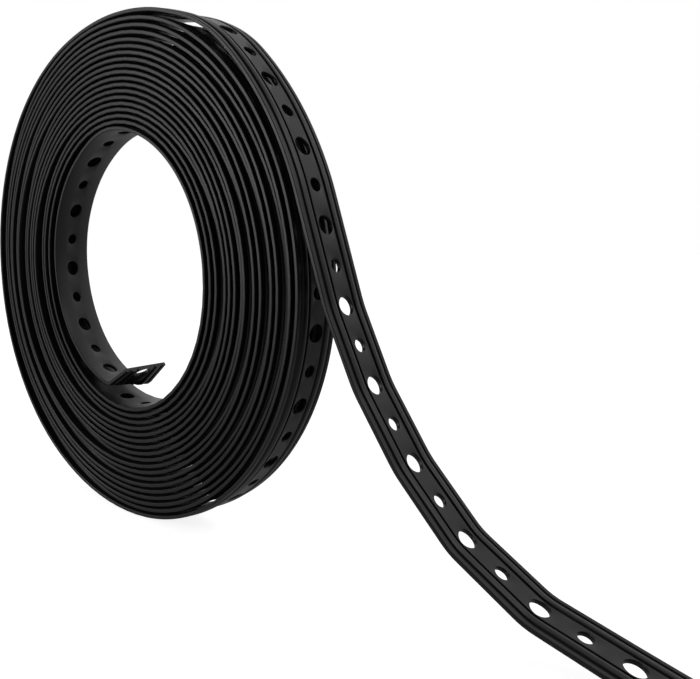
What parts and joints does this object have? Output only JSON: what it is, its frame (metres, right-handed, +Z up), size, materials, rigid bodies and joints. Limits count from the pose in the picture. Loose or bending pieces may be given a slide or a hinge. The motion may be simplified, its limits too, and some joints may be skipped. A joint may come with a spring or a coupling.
{
  "type": "perforated strap coil",
  "caption": "Coil of black plastic-coated perforated steel strap with ribbed edges and alternating large and small holes, its outer end running out loose along the floor.",
  "frame": {"origin": "middle of the part's length and width, on the floor that it stands on", "axes": "+X along the floor from the coil towards the loose end, +Y along the axis of the coil away from the side that the picture shows, +Z up"},
  "size_m": [0.4668, 0.026, 0.2719],
  "materials": {
    "black_coating": "satin black plastic coat over the steel band"
  },
  "bodies": {
    "root": {"strap": "black_coating"}
  },
  "joints": []
}
